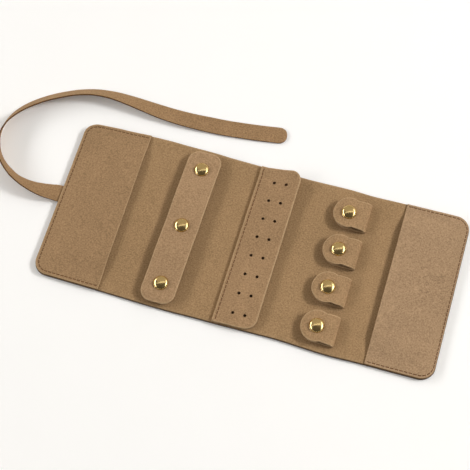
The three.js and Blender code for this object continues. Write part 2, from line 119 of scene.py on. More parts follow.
# Ring strap, sewn a little askew.
RING_SKEW = (0.2, 0.019)
RING_LOW = span("ring_strap_near")[0]
RING_HIGH = span("ring_strap_far")[1]
RING_CORNER = 9.0
RING_BOW = 0.7          # how far the strap bows up between two snaps
RING_DROOP = 0.8        # how far its ends hang below its outer snaps
RING_GRIP = 6.0         # how far round a snap it is held flat
RING_EASE = 14.0        # length over which it then comes free
RING_SLACK = (0.3, 15.0)

# Earring flap.
FLAP_SKEW = (-0.35, 0.008)
FLAP_LOW = span("earring_flap_hem")[0]
FLAP_HINGE = span("earring_flap_hem")[1].x
FLAP_FREE = span("earring_flap")[1].x
FLAP_CORNER = 9.0
FLAP_RISE = 3.5         # how far the free edge stands off the lining
FLAP_LEAN = 0.8         # how much more at its far end, and less at its near end
FLAP_CURL = 2.6         # how much more at its far corner, from which y, and over what length
FLAP_CURL_FROM = 30.0
FLAP_CURL_OVER = 42.0
FLAP_PULL = 0.6         # how far that corner is pulled outward, from which y, and over what length
FLAP_PULL_FROM = 40.0
FLAP_PULL_OVER = 27.0
FLAP_SEAM = 2.4         # from the sewn edge to the stitches
FLAP_SLACK = (0.45, 22.0)
HOLE_RADIUS = 1.25
HOLE_COLUMNS = (2.1, 11.7)
HOLE_ROWS = 8
HOLE_PITCH = 15.9
HOLE_ROW_MIDDLE = -1.5

# Loop tabs.
TAB_SHIFT = -0.7        # sewn this far to the left of their marks
TAB_ROWS = [middle(f"tab_snap_{n}_cap").y for n in (1, 2, 3, 4)]
TAB_SNAP_X = middle("tab_snap_1_cap").x + TAB_SHIFT
TAB_HEAD_TOP = span("loop_tab_1")[1].z
TAB_CREASE = span("loop_tab_1_leg")[1].x + TAB_SHIFT
TAB_LEG_END = span("loop_tab_1_leg")[0].x + TAB_SHIFT
TAB_HEAD_RADIUS = 12.5
TAB_STRIP_HALF = 11.7
TAB_NECK = 0.035        # how much narrower its neck is, as a share of the head's radius
TAB_NECK_AT = 5.5       # how far past the snap that is
TAB_NECK_REACH = 1.6
TAB_FREE = 4.0          # height over its leg at which it no longer follows the lining
TAB_EASE = 8.0          # distance from the snap over which it comes free
TAB_SLACK = (0.3, 12.0)

# Snap caps.
CAP_RADIUS = 5.9
CAP_BEAD = 0.42         # radius of the bead rolled round the cap
CAP_SUNK = 0.2          # how deep the bead is pressed into the suede

# Tie strap: its way along the table from the middle of the left edge, and how far it leans over.
# Each point is x, y and a lean: 0 lies flat, 90 stands on edge, 180 lies flat with the other face up.
STRAP_WIDTH = 13.9
STRAP_THICK = 1.1
STRAP_TIP = 6.4         # radius of the tip's corners
STRAP_SETTLE_FROM = 5.0     # how far past the edge it begins to sink to the table
STRAP_SETTLE_OVER = 25.0    # length over which it sinks
STRAP_ROOT = (6.0, 0.0, 0.0)
STRAP_ROUTE = (
    (-3.0, -0.2, 0.0), (-7.8, -1.0, 12.0), (-14.4, -1.6, 23.0), (-22.5, -1.4, 37.0), (-31.2, 0.0, 50.0),
    (-40.5, 3.0, 62.0), (-48.2, 7.8, 70.0), (-54.5, 13.1, 78.0), (-59.2, 19.3, 87.0),
    (-62.7, 26.8, 96.0), (-64.3, 35.0, 106.0), (-64.0, 43.3, 115.0), (-61.4, 51.5, 123.0),
    (-56.4, 59.8, 129.0), (-48.9, 67.8, 132.0), (-39.5, 75.2, 133.0), (-28.5, 81.8, 134.0),
    (-15.9, 87.8, 134.0), (-2.4, 91.8, 136.0), (11.7, 93.3, 140.0), (25.9, 92.9, 147.0),
    (39.9, 91.8, 155.0), (53.8, 90.7, 163.0), (67.5, 90.1, 168.0), (81.1, 90.2, 172.0),
    (94.7, 90.9, 176.0), (108.5, 91.7, 177.0), (122.2, 93.1, 177.0), (133.9, 94.5, 178.0),
    (145.7, 96.2, 178.0), (158.9, 98.4, 180.0),
)

# Camera, in degrees and metres.
VIEW_AZIMUTH = 21.41
VIEW_ELEVATION = 68.70
VIEW_ROLL = -5.03
VIEW_DISTANCE = 0.9119
VIEW_TARGET = Vector((-0.01586, 0.00505, 0.0))
VIEW_LENS = 89.17       # in millimetres

# Table top, in millimetres.
TABLE_HALF = 60000
TABLE_DROP = 0.35       # keeps the underside's thread clear of it


def place_camera():
    """Sets the camera at the photograph's viewing angle."""
    azimuth = math.radians(VIEW_AZIMUTH)
    elevation = math.radians(VIEW_ELEVATION)
    back = Vector((math.sin(azimuth) * math.cos(elevation),
                   -math.cos(azimuth) * math.cos(elevation),
                   math.sin(elevation)))
    right = Vector((math.cos(azimuth), math.sin(azimuth), 0))
    turn = Matrix((right, back.cross(right), back)).transposed()
    turn = turn @ Matrix.Rotation(math.radians(VIEW_ROLL), 3, "Z")
    data = bpy.data.cameras.new("camera")
    data.lens = VIEW_LENS
    data.sensor_width = 36
    data.clip_start = 0.01
    camera = bpy.data.objects.new("camera", data)
    camera.matrix_world = Matrix.Translation(VIEW_TARGET + back * VIEW_DISTANCE) @ turn.to_4x4()
    scene.collection.objects.link(camera)
    scene.camera = camera


place_camera()


# Helpers for shapes.

def smooth(share):
    """Goes from 0 to 1 with no kink at either end."""
    share = min(max(share, 0.0), 1.0)
    return share * share * (3 - 2 * share)


def through(points, steps=6):
    """A smooth line through the points, each a vector of three numbers."""
    points = [Vector(p) for p in points]
    padded = [2 * points[0] - points[1]] + points + [2 * points[-1] - points[-2]]
    line = [points[0]]
    for before, start, end, after in zip(padded, padded[1:], padded[2:], padded[3:]):
        pull_out = start + (end - before) / 6
        pull_in = end - (after - start) / 6
        line += interpolate_bezier(start, pull_out, pull_in, end, steps + 1)[1:]
    return line


def distances(line):
    """How far along a line each of its points is."""
    total = [0.0]
    for a, b in zip(line, line[1:]):
        total.append(total[-1] + (b - a).length)
    return total


def at(line, total, travelled):
    """The point of a line at a distance along it, and the line's direction there."""
    travelled = min(max(travelled, 0.0), total[-1])
    k = 0
    while k < len(total) - 2 and total[k + 1] < travelled:
        k += 1
    share = (travelled - total[k]) / (total[k + 1] - total[k])
    before = line[max(k - 1, 0)]
    after = line[min(k + 2, len(line) - 1)]
    ahead = (line[k + 1] - before).lerp(after - line[k], share)
    return line[k].lerp(line[k + 1], share), ahead.normalized()


def table(rows, x):
    """Smoothly read value between rows of (x, value)."""
    if x <= rows[0][0]:
        return rows[0][1]
    for (x0, v0), (x1, v1) in zip(rows, rows[1:]):
        if x <= x1:
            return v0 + (v1 - v0) * smooth((x - x0) / (x1 - x0))
    return rows[-1][1]


def finish_piece(name, bm, *materials):
    """Turns a mesh in millimetres into an object in metres, with its place in its mesh."""
    bmesh.ops.scale(bm, vec=(MM, MM, MM), verts=bm.verts[:])
    mesh = bpy.data.meshes.new(name)
    bm.to_mesh(mesh)
    bm.free()
    for material in materials:
        mesh.materials.append(material)
    mesh.shade_smooth()
    mesh.set_sharp_from_angle(angle=math.radians(50))
    piece = bpy.data.objects.new(name, mesh)
    scene.collection.objects.link(piece)
    return piece


def round_corners(bm, low, high, radii):
    """Rounds the corners of a flat grid: radii are those of its low end and its high end."""
    for vert in bm.verts:
        for end, sign, radius in ((low[0], -1, radii[0]), (high[0], 1, radii[1])):
            for side, turn in ((low[1], -1), (high[1], 1)):
                centre_x = end - sign * radius
                centre_y = side - turn * radius
                out_x = (vert.co.x - centre_x) * sign
                out_y = (vert.co.y - centre_y) * turn
                if out_x > 0 and out_y > 0:
                    shrink = max(out_x, out_y) / math.hypot(out_x, out_y)
                    vert.co.x = centre_x + sign * out_x * shrink
                    vert.co.y = centre_y + turn * out_y * shrink


def pierce(bm, centre, radius):
    """Punches a round hole at the grid corner nearest to the centre, and returns its ring."""
    vert = min(bm.verts, key=lambda v: (v.co.x - centre[0]) ** 2 + (v.co.y - centre[1]) ** 2)
    vert.co = (centre[0], centre[1], 0)
    made = bmesh.ops.bevel(bm, geom=[vert], offset=radius * 0.9, segments=2, profile=0.5,
                           affect="VERTICES", material=-1)
    ring = {v for face in made["faces"] for v in face.verts}
    bmesh.ops.delete(bm, geom=made["faces"], context="FACES")
    ring = {v for v in ring if v.is_valid}
    for v in ring:
        out = Vector((v.co.x - centre[0], v.co.y - centre[1], 0)).normalized() * radius
        v.co = (centre[0] + out.x, centre[1] + out.y, 0)
    return ring


def stations(low, high, step, stops):
    """Even places from low to high about a step apart, with one exactly at each stop."""
    knots = [low] + sorted(set(stops)) + [high]
    places = [low]
    for start, end in zip(knots, knots[1:]):
        count = max(1, round((end - start) / step))
        places += [start + (end - start) * (i + 1) / count for i in range(count)]
    return places


def soft_sheet(name, low, high, step, radii, shape, thick, skin, edge, flush=(), holes=(), rounding=0.28):
    """A cut sheet of suede or leather.

    It starts as a flat grid from low to high, with its corners rounded and its holes punched.
    shape(x, y) then gives where each point of its upper face lies, and the thickness goes below.
    flush names the ends ("low", "high") that butt against the next sheet and keep a square edge.
    rounding is the part of the thickness that wear has taken off each arris.
    """
    columns = stations(low[0], high[0], step, [x for x, _ in holes])
    rows = stations(low[1], high[1], step, [y for _, y in holes])
    last_column = len(columns) - 1
    last_row = len(rows) - 1
    bm = bmesh.new()
    # This layer marks the rounded arrises, which the suede paints paler as a highlight.
    worn = bm.verts.layers.float.new("worn_edge")
    bmesh.ops.create_grid(bm, x_segments=last_column, y_segments=last_row, size=0.5)
    butting = set()
    for vert in bm.verts:
        column = round((vert.co.x + 0.5) * last_column)
        if ("low" in flush and column == 0) or ("high" in flush and column == last_column):
            butting.add(vert)
        vert.co.x = columns[column]
        vert.co.y = rows[round((vert.co.y + 0.5) * last_row)]
    round_corners(bm, low, high, radii)
    punched = set()
    for centre in holes:
        punched |= pierce(bm, centre, HOLE_RADIUS)
    for vert in bm.verts:
        vert.co = shape(vert.co.x, vert.co.y)
    bm.normal_update()
    upper = set(bm.verts)
    bmesh.ops.solidify(bm, geom=bm.faces[:], thickness=thick)
    rim = {face for face in bm.faces if len({v in upper for v in face.verts}) == 2}
    square = set()
    for face in rim:
        face.material_index = 1
        top = [v for v in face.verts if v in upper]
        # The walls of punched holes take the third material, a dark brown that is painted shade.
        if all(v in punched for v in top):
            face.material_index = 2
            square.add(face)
        elif all(v in butting for v in top):
            square.add(face)
    arris = [e for e in bm.edges
             if len(rim.intersection(e.link_faces)) == 1 and not square.intersection(e.link_faces)]
    rounded = bmesh.ops.bevel(bm, geom=arris, offset=thick * rounding, segments=2, profile=0.5,
                              affect="EDGES", material=-1)
    # Mark the rounded arrises for the painted highlight.
    for vert in rounded["verts"]:
        vert[worn] = 1.0
    bmesh.ops.recalc_face_normals(bm, faces=bm.faces[:])
    return finish_piece(name, bm, skin, edge, HOLE_SHADE)


def turned(name, profile, centre, metal, turns=56):
    """A pressed round piece: a profile of (radius, height) from axis to axis, spun about the vertical."""
    bm = bmesh.new()
    verts = [bm.verts.new((radius, 0, height)) for radius, height in profile]
    for a, b in zip(verts, verts[1:]):
        bm.edges.new((a, b))
    bmesh.ops.spin(bm, geom=bm.verts[:] + bm.edges[:], cent=(0, 0, 0), axis=(0, 0, 1),
                   angle=2 * math.pi, steps=turns, use_merge=True)
    bmesh.ops.remove_doubles(bm, verts=bm.verts[:], dist=1e-4)
    bmesh.ops.recalc_face_normals(bm, faces=bm.faces[:])
    bmesh.ops.translate(bm, vec=centre, verts=bm.verts[:])
    return finish_piece(name, bm, metal)


def arc(centre_r, centre_z, radius_r, radius_z, start, end, steps):
    """Points of a profile on part of an ellipse, from one angle to another, in degrees from flat out."""
    angles = [math.radians(start + (end - start) * i / steps) for i in range(steps + 1)]
    return [(centre_r + radius_r * math.cos(a), centre_z + radius_z * math.sin(a)) for a in angles]


# Materials.

def linear(code):
    """An sRGB hex colour as linear red, green, blue and a full alpha."""
    parts = [int(code[i:i + 2], 16) / 255 for i in (1, 3, 5)]
    return [p / 12.92 if p <= 0.04045 else ((p + 0.055) / 1.055) ** 2.4 for p in parts] + [1.0]


def per_mm(size):
    """Texture scale that makes a pattern's features about this many millimetres across."""
    return 1 / (size * MM)


def add_node(tree, kind, inputs=None, **settings):
    """Adds a node with its settings. An input given as a socket is linked, any other value is set."""
    node = tree.nodes.new(kind)
    for name, value in settings.items():
        setattr(node, name, value)
    for name, value in (inputs or {}).items():
        if isinstance(value, bpy.types.NodeSocket):
            tree.links.new(value, node.inputs[name])
        else:
            node.inputs[name].default_value = value
    return node


def start_material(name):
    """An empty node material, its tree and its Object coordinates."""
    material = bpy.data.materials.new(name)
    material.use_nodes = True
    tree = material.node_tree
    tree.nodes.clear()
    return material, tree, add_node(tree, "ShaderNodeTexCoord").outputs["Object"]


def finish_material(tree, inputs):
    """Ends a material's tree with a Principled shader that has these inputs."""
    shader = add_node(tree, "ShaderNodeBsdfPrincipled", inputs)
    add_node(tree, "ShaderNodeOutputMaterial", {"Surface": shader.outputs[0]})


def cloud(tree, place, size, detail=2.0, roughness=0.5, distortion=0.0):
    """Outputs of a noise with features about this many millimetres across."""
    return add_node(tree, "ShaderNodeTexNoise", {
        "Vector": place, "Scale": per_mm(size), "Detail": detail, "Roughness": roughness,
        "Distortion": distortion}).outputs


def between(tree, share, first, second):
    """The colour at this share of the way from the first to the second."""
    return add_node(tree, "ShaderNodeMix", {
        "Factor": share, 6: first, 7: second}, data_type="RGBA").outputs[2]


def times_plus(tree, value, factor, more, clamp=False):
    """A value times a factor, plus some more."""
    return add_node(tree, "ShaderNodeMath", {
        0: value, 1: factor, 2: more}, operation="MULTIPLY_ADD", use_clamp=clamp).outputs[0]


def ranged(tree, value, low, high, start=0.0, end=1.0, **settings):
    """Goes from low to high while the value goes from start to end."""
    return add_node(tree, "ShaderNodeMapRange", {
        "Value": value, "From Min": start, "From Max": end, "To Min": low, "To Max": high},
        **settings).outputs["Result"]


def relief(tree, height, strength, depth):
    """A surface normal that follows a height, which is this many millimetres deep."""
    return add_node(tree, "ShaderNodeBump", {
        "Height": height, "Strength": strength, "Distance": depth * MM}).outputs["Normal"]


def suede(name, dark, light, edge_highlight=0.3, handled=None):
    """Split suede, buffed to a short nap.

    The eye gets a matt face with fine grain, soft smudges where the nap lies another way, slow
    changes of tone over a hand's width, and a painted highlight: a paler line along each rounded cut
    edge, where it catches the light. The real nap is about 0.3 mm and is drawn coarser to show.
    handled is a spot (x, y and radius in millimetres) where fingers have ruffled the nap.
    """
    material, tree, place = start_material(name)
    grain = cloud(tree, place, 1.15, roughness=0.6)["Fac"]
    smudge = cloud(tree, place, 11, detail=3.0, roughness=0.6, distortion=0.5)["Fac"]
    drift = cloud(tree, place, 65)["Fac"]
    shares = (1.5, 0.3, 0.3)
    tone = times_plus(tree, grain, shares[0], 0.5 - sum(shares) / 2)
    tone = times_plus(tree, smudge, shares[1], tone)
    tone = times_plus(tree, drift, shares[2], tone, clamp=True)
    if handled:
        x, y, radius = handled
        about = add_node(tree, "ShaderNodeMapping", {
            "Vector": place, "Location": (-x / radius, -y / radius, 0),
            "Scale": (per_mm(radius), per_mm(radius), per_mm(radius))}).outputs[0]
        spot = add_node(tree, "ShaderNodeTexGradient", {"Vector": about},
                        gradient_type="QUADRATIC_SPHERE").outputs["Fac"]
        ruffle = cloud(tree, place, 4.5, detail=3.0, roughness=0.6, distortion=1.2)["Fac"]
        ruffle = times_plus(tree, ruffle, 1.5, -0.85)
        tone = times_plus(tree, ruffle, spot, tone, clamp=True)
    face = between(tree, tone, linear(dark), linear(light))
    # Painted highlight: the rounded arrises are paled towards a light tan, as if catching the light.
    worn = add_node(tree, "ShaderNodeAttribute", attribute_name="worn_edge").outputs["Fac"]
    highlight_share = add_node(tree, "ShaderNodeMath", {0: worn, 1: edge_highlight}, operation="MULTIPLY").outputs[0]
    colour = between(tree, highlight_share, face, linear("#d6b88e"))
    rough = ranged(tree, smudge, 0.86, 1.0)
    bump = relief(tree, grain, 0.45, 0.35)
    finish_material(tree, {
        "Base Color": colour, "Roughness": rough, "Normal": bump, "Specular IOR Level": 0.15,
        "Sheen Weight": 0.12, "Sheen Roughness": 0.45, "Sheen Tint": linear("#e8cfa8")})
    return material


def fibre_edge(name, dark, light):
    """Cut edge of leather, raw, burnished or dyed: short fibres that lie every way, and quite rough."""
    material, tree, place = start_material(name)
    fibre = cloud(tree, place, 0.9, detail=4.0, roughness=0.7)["Fac"]
    colour = between(tree, fibre, linear(dark), linear(light))
    bump = relief(tree, fibre, 0.5, 0.3)
    finish_material(tree, {
        "Base Color": colour, "Roughness": 0.95, "Normal": bump, "Specular IOR Level": 0.15})
    return material


def grained_leather(name, dark, light):
    """Full-grain cowhide, drummed: pebbles about 1.6 mm across with dark valleys and a low sheen."""
    material, tree, place = start_material(name)
    bend = cloud(tree, place, 4)["Color"]
    bent = add_node(tree, "ShaderNodeVectorMath", {
        0: bend, 1: (0.0012, 0.0012, 0.0012), 2: place}, operation="MULTIPLY_ADD").outputs[0]
    pebble = add_node(tree, "ShaderNodeTexVoronoi", {
        "Vector": bent, "Scale": per_mm(1.6), "Randomness": 0.9},
        feature="DISTANCE_TO_EDGE").outputs["Distance"]
    raised = ranged(tree, pebble, 0.0, 1.0, end=0.28, interpolation_type="SMOOTHSTEP")
    drift = cloud(tree, place, 35, detail=3.0)["Fac"]
    tone = times_plus(tree, raised, 0.55, drift, clamp=True)
    colour = between(tree, tone, linear(dark), linear(light))
    rough = ranged(tree, raised, 0.7, 0.5)
    bump = relief(tree, raised, 0.5, 0.2)
    finish_material(tree, {
        "Base Color": colour, "Roughness": rough, "Normal": bump, "Specular IOR Level": 0.4})
    return material


def sewing_thread(name, dark, light):
    """Bonded polyester thread: a fine dull shine, darker where its plies meet."""
    material, tree, place = start_material(name)
    plies = cloud(tree, place, 0.5)["Fac"]
    colour = between(tree, plies, linear(dark), linear(light))
    bump = relief(tree, plies, 0.4, 0.15)
    finish_material(tree, {
        "Base Color": colour, "Roughness": 0.6, "Normal": bump, "Specular IOR Level": 0.3})
    return material


def pressed_metal(name, dark, light, smooth_rough, worn_rough):
    """Sheet metal pressed to shape and barrel-polished: clear reflections, faint handling marks."""
    material, tree, place = start_material(name)
    marks = cloud(tree, place, 2.2, detail=5.0, roughness=0.65)["Fac"]
    colour = between(tree, marks, linear(dark), linear(light))
    rough = ranged(tree, marks, smooth_rough, worn_rough, start=0.3, end=0.7)
    finish_material(tree, {"Base Color": colour, "Metallic": 1.0, "Roughness": rough})
    return material


# The edge strength given to each suede sets how pale its painted highlight along rounded edges is.
LINING_SUEDE = suede("split suede, lining", "#7d6445", "#b9966e", edge_highlight=0.1)
LEFT_SUEDE = suede("split suede, left pocket", "#7b6245", "#b7946e")
RIGHT_SUEDE = suede("split suede, right pocket", "#846b51", "#c2a17d", edge_highlight=0.1,
                    handled=(138, 0, 46))
STRAP_SUEDE = suede("split suede, ring strap", "#83694c", "#c09d78")
FLAP_SUEDE = suede("split suede, earring flap", "#7d6447", "#ba9670")
TAB_SUEDE = suede("split suede, loop tabs", "#806648", "#be9a72")
TIE_SUEDE = suede("split suede, tie strap", "#785d41", "#b6926a", edge_highlight=0.0)
SUEDE_EDGE = fibre_edge("knife-cut suede edge", "#a98a64", "#d3b894")
BURNISHED_EDGE = fibre_edge("burnished suede edge", "#6b5136", "#8a6c4c")
COVER_LEATHER = grained_leather("full-grain leather, drummed", "#4f4136", "#7d6a58")
COVER_EDGE = fibre_edge("edge-dyed leather", "#40362e", "#5c4f44")
THREAD = sewing_thread("bonded polyester thread", "#5c3a20", "#80542f")
TIE_EDGE = fibre_edge("edge-dyed suede", "#4f351e", "#6d4b2c")
# Painted shade: this dark brown stands in for the shade deep in needle holes and in the flap's punched
# holes.
HOLE_SHADE = fibre_edge("painted shade in holes", "#33241a", "#4c3726")
BRASS = pressed_metal("brass sheet, barrel-polished", "#ddbb7a", "#edd296", 0.14, 0.24)
NICKEL = pressed_metal("nickel-plated steel", "#b9b5ad", "#d6d3cc", 0.18, 0.32)


# How the roll lies: every sheet follows these, so that they stay sewn to each other.
# A row of a shift is an x, and how far the long edge there lies off a straight line.

FAR_SHIFT = ((-155, -2.2), (-125, -0.6), (-100, 0.2), (-60, 0.1), (-25, -1.2), (30, -2.0),
             (60, -1.3), (82, -2.0), (115, -1.3), (150, -0.8))
NEAR_SHIFT = ((-150, -0.4), (-110, -0.8), (-55, -1.7), (-15, -1.2), (37, -0.3), (77, -1.6),
              (115, -0.5), (150, -0.2))


def plan(x, y):
    """Where a point of the cut pattern lies on the table: the long edges aren't quite straight."""
    share = abs(y) / HALF_WIDTH
    return y + share ** 3 * table(FAR_SHIFT if y > 0 else NEAR_SHIFT, x)


def base_lift(x, y):
    """How far the roll stands off the table: curled long edges, and low ridges along the folds."""
    side = 7.0 if y > 0 else 2.0        # each edge has its own stretch of the noise
    edge = smooth((abs(y) - HALF_WIDTH + EDGE_REACH) / EDGE_REACH) ** 1.5
    curl = EDGE_CURL * edge * (0.45 + 0.75 * noise.noise(Vector((x / 42, side, 0.4))))
    ridge = 0.0
    for fold in FOLDS:
        fold_x = JOINT_AT[fold][0]
        off = (x - fold_x) / FOLD_REACH
        sway = 0.55 + 0.6 * noise.noise(Vector((fold_x, y / 30, 1.7)))
        ridge += FOLD_RIPPLE * math.exp(-off * off) * sway
    return max(curl, 0.0) + max(ridge, 0.0)


def unevenness(x, y, height, size):
    """Slow bumps of a limp sheet, of this height and about this size."""
    return height * noise.noise(Vector((x / size, y / size, 3.3)))


# Tie strap: a flat cord, sewn in at the left edge.

def lay_tie_strap():
    start = Vector((LEFT_EDGE, 0, 0))
    line = [p + start for p in through((STRAP_ROOT,) + STRAP_ROUTE)]
    flat = [Vector((p.x, p.y, 0)) for p in line]
    total = distances(flat)
    exit_at = STRAP_ROOT[0]

    def lying(travelled):
        """Middle of the strap, the direction across it and its upper side."""
        spot, ahead = at(flat, total, travelled)
        whole, _ = at(line, total, travelled)
        lean = math.radians(whole.z)
        outward = Vector((-ahead.y, ahead.x, 0))
        across = outward * math.cos(lean) + Vector((0, 0, math.sin(lean)))
        upper = -outward * math.sin(lean) + Vector((0, 0, math.cos(lean)))
        sunk = smooth((travelled - exit_at - STRAP_SETTLE_FROM) / STRAP_SETTLE_OVER)
        settle = COVER_TOP * (1 - sunk)
        half_height = (STRAP_WIDTH * math.sin(lean) + STRAP_THICK * abs(math.cos(lean))) / 2
        return spot + Vector((0, 0, settle + half_height)), across, upper

    def strap_face(along, over):
        spot, across, upper = lying(along)
        return spot + across * over + upper * STRAP_THICK / 2

    half = STRAP_WIDTH / 2
    strap = soft_sheet("tie_strap", (0, -half), (total[-1], half), 1.6, (0, STRAP_TIP), strap_face,
                       STRAP_THICK, TIE_SUEDE, TIE_EDGE, rounding=0.06)
    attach(strap, "left_panel")
    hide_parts("wrap_strap")


lay_tie_strap()


# Cover and lining: four sheets each, meeting under the ring strap, the flap and the tabs,
# so that each sheet spans one fold.

def cut_base():
    cuts = (LEFT_EDGE, (RING_LOW.x + RING_HIGH.x) / 2, (FLAP_HINGE + FLAP_FREE) / 2, TAB_SNAP_X,
            RIGHT_EDGE)
    panels = (("left", "ring"), ("earring",), ("loop",), ("right",))

    def cover_face(x, y):
        return Vector((x, plan(x, y), COVER_TOP + base_lift(x, y)))

    def lining_face(x, y):
        return Vector((x, plan(x, y), LINING_TOP + base_lift(x, y)))

    layers = (("cover", "outer_cover", cover_face, COVER_TOP, COVER_LEATHER, COVER_EDGE, "cover",
               COVER_PROUD),
              ("lining", "lining", lining_face, LINING_TOP - COVER_TOP, LINING_SUEDE, BURNISHED_EDGE,
               "suede", 0.0))
    last = len(FOLDS) - 1
    for n, fold in enumerate(FOLDS):
        flush = [end for end, inner in (("low", n > 0), ("high", n < last)) if inner]
        for layer, node, face, thick, skin, edge, slot, proud in layers:
            low = (cuts[n] - (proud if n == 0 else 0), -HALF_WIDTH - proud)
            high = (cuts[n + 1] + (proud if n == last else 0), HALF_WIDTH + proud)
            radii = (CORNER + proud if n == 0 else 0, CORNER + proud if n == last else 0)
            piece = soft_sheet(f"{layer}_sheet_{panels[n][0]}", low, high, 2.0, radii, face, thick,
                               skin, edge, flush)
            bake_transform(piece)
            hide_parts(*[f"{node}_{panel}" for panel in panels[n]])


cut_base()


# Sewing.

def rounded_u(mouth, outer, inset):
    """Seam line round three sides of a pocket, from its mouth and back to it."""
    inward = 1 if mouth > outer else -1
    far = HALF_WIDTH - inset[1]
    end = outer + inward * inset[0]
    radius = CORNER - inset[0]
    steps = 12
    line = [Vector((mouth - inward * SEAM_END, far, 0))]
    for corner, before, after in ((Vector((end, far, 0)), Vector((-inward, 0, 0)), Vector((0, -1, 0))),
                                  (Vector((end, -far, 0)), Vector((0, -1, 0)), Vector((inward, 0, 0)))):
        centre = corner - before * radius + after * radius
        for i in range(steps + 1):
            turn = math.radians(90 * i / steps)
            line.append(centre + radius * (before * math.sin(turn) - after * math.cos(turn)))
    line.append(Vector((mouth - inward * SEAM_END, -far, 0)))
    return line


def under_face(x, y):
    """Underside of the cover."""
    return Vector((x, plan(x, y), base_lift(x, y)))


def sew(name, line, upper_face, body):
    """Stitches along a flat line: thread on top and beneath, and painted shade in the needle holes
    between.
    """
    bead = bmesh.new()
    bmesh.ops.create_uvsphere(bead, u_segments=8, v_segments=5, radius=1)
    pattern = bpy.data.meshes.new("stitch")
    bead.to_mesh(pattern)
    bead.free()
    bm = bmesh.new()
    total = distances(line)
    count = round(total[-1] / STITCH_PITCH)
    pitch = total[-1] / count
    # Each stitch has its thread and two dark beads, painted shade where the needle went through.
    marks = [(0.5, STITCH_THREAD, 0)] + [(share, STITCH_HOLE_SHADE, 1) for share in STITCH_HOLE_SHADE_AT]
    for k in range(count):
        for share, size, kind in marks:
            spot, ahead = at(line, total, (k + share) * pitch)
            heading = Matrix.Rotation(math.atan2(ahead.y, ahead.x), 4, "Z")
            for face, sink in ((upper_face, -STITCH_SINK[0]), (under_face, STITCH_SINK[1])):
                middle_at = face(spot.x, spot.y) + Vector((0, 0, sink))
                form = Matrix.Translation(middle_at) @ heading @ Matrix.Diagonal((*size, 1))
                verts_before = len(bm.verts)
                faces_before = len(bm.faces)
                bm.from_mesh(pattern)
                bm.verts.ensure_lookup_table()
                bm.faces.ensure_lookup_table()
                for vert in bm.verts[verts_before:]:
                    vert.co = form @ vert.co
                for made in bm.faces[faces_before:]:
                    made.material_index = kind
    bpy.data.meshes.remove(pattern)
    piece = finish_piece(name, bm, THREAD, HOLE_SHADE)
    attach(piece, body)


# Pockets: one ply each, sewn down round three sides and gaping a little at the mouth.

def make_pocket(name, outer, mouth, inset, skew, lip, skin, body):
    inward = 1 if mouth > outer else -1

    def depth_in(x, y):
        """How far a point lies inside the sewn edges."""
        far = HALF_WIDTH - CORNER - abs(y)
        back = (x - outer) * inward - CORNER
        if far < 0 and back < 0:
            return CORNER - math.hypot(far, back)
        return CORNER + min(far, back)

    def pocket_face(x, y):
        reach = abs(mouth - outer) - POCKET_SEAM
        run = min(max(((x - outer) * inward - POCKET_SEAM) / reach, 0.0), 1.0)
        sides = smooth((HALF_WIDTH - POCKET_SEAM - abs(y)) / POCKET_RISE)
        gape = (POCKET_GAPE * math.sin(run * math.pi / 2) - lip * smooth(run * 8 - 7)) * sides
        off = (depth_in(x, y) - sum(inset) / 2) / SEAM_GROOVE_WIDE
        groove = SEAM_GROOVE * math.exp(-off * off)
        free = smooth((depth_in(x, y) - POCKET_SEAM) / POCKET_EASE)
        slack = free * unevenness(x, y, *POCKET_SLACK)
        askew = (skew[0] + skew[1] * y) * run
        return Vector((x + askew, plan(x, y), LINING_TOP + PLY + base_lift(x, y) + gape - groove + slack))

    ends = sorted((outer, mouth))
    radii = (CORNER, 0) if inward > 0 else (0, CORNER)
    pocket = soft_sheet(name + "_ply", (ends[0], -HALF_WIDTH), (ends[1], HALF_WIDTH), 1.1, radii,
                        pocket_face, PLY, skin, BURNISHED_EDGE)
    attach(pocket, body)
    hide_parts(name)
    sew(name + "_stitches", rounded_u(mouth, outer, inset), pocket_face, body)


make_pocket("left_pocket", LEFT_EDGE, LEFT_MOUTH, LEFT_STITCH_INSET, LEFT_MOUTH_SKEW, LEFT_LIP,
            LEFT_SUEDE, "left_panel")
make_pocket("right_pocket", RIGHT_EDGE, RIGHT_MOUTH, RIGHT_STITCH_INSET, RIGHT_MOUTH_SKEW, RIGHT_LIP,
            RIGHT_SUEDE, "right_panel")


# Ring strap: two lengths that meet under the middle cap.

def make_ring_strap():
    rows = [middle(f"ring_snap_{place}_cap").y for place in ("near", "centre", "far")]
    side = (RING_LOW.x + RING_HIGH.x) / 2
    half = (RING_HIGH.x - RING_LOW.x) / 2

    def strap_face(along, over):
        bow = 0.0
        if rows[0] < along < rows[2]:
            share = (along - rows[0]) / (rows[1] - rows[0])
            bow = RING_BOW * (1 - math.cos(2 * math.pi * share)) / 2
        past_end = max(along - rows[2], rows[0] - along)
        droop = RING_DROOP * smooth((past_end - RING_GRIP) / RING_EASE)
        loose = min(1.0, min(abs(along - row) for row in rows) / RING_EASE)
        slack = loose * unevenness(over, along, *RING_SLACK)
        askew = RING_SKEW[0] + RING_SKEW[1] * along
        return Vector((side - over + askew, along, RING_HIGH.z + bow - droop + slack))

    lengths = (("near", (RING_LOW.y, -half), (rows[1], half), (RING_CORNER, 0), ["high"], -1),
               ("far", (rows[1], -half), (RING_HIGH.y, half), (0, RING_CORNER), ["low"], 1))
    for end, low, high, radii, flush, way in lengths:
        piece = soft_sheet(f"ring_strap_{end}_half", low, high, 1.2, radii, strap_face, PLY, STRAP_SUEDE,
                           SUEDE_EDGE, flush)
        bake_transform(piece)
        nodes = ["ring_strap_far", "ring_strap_centre"] if end == "far" else ["ring_strap_near"]
        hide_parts(*nodes)


make_ring_strap()


# Earring flap: one ply with its hem turned under and sewn down, and its far free corner curled up.

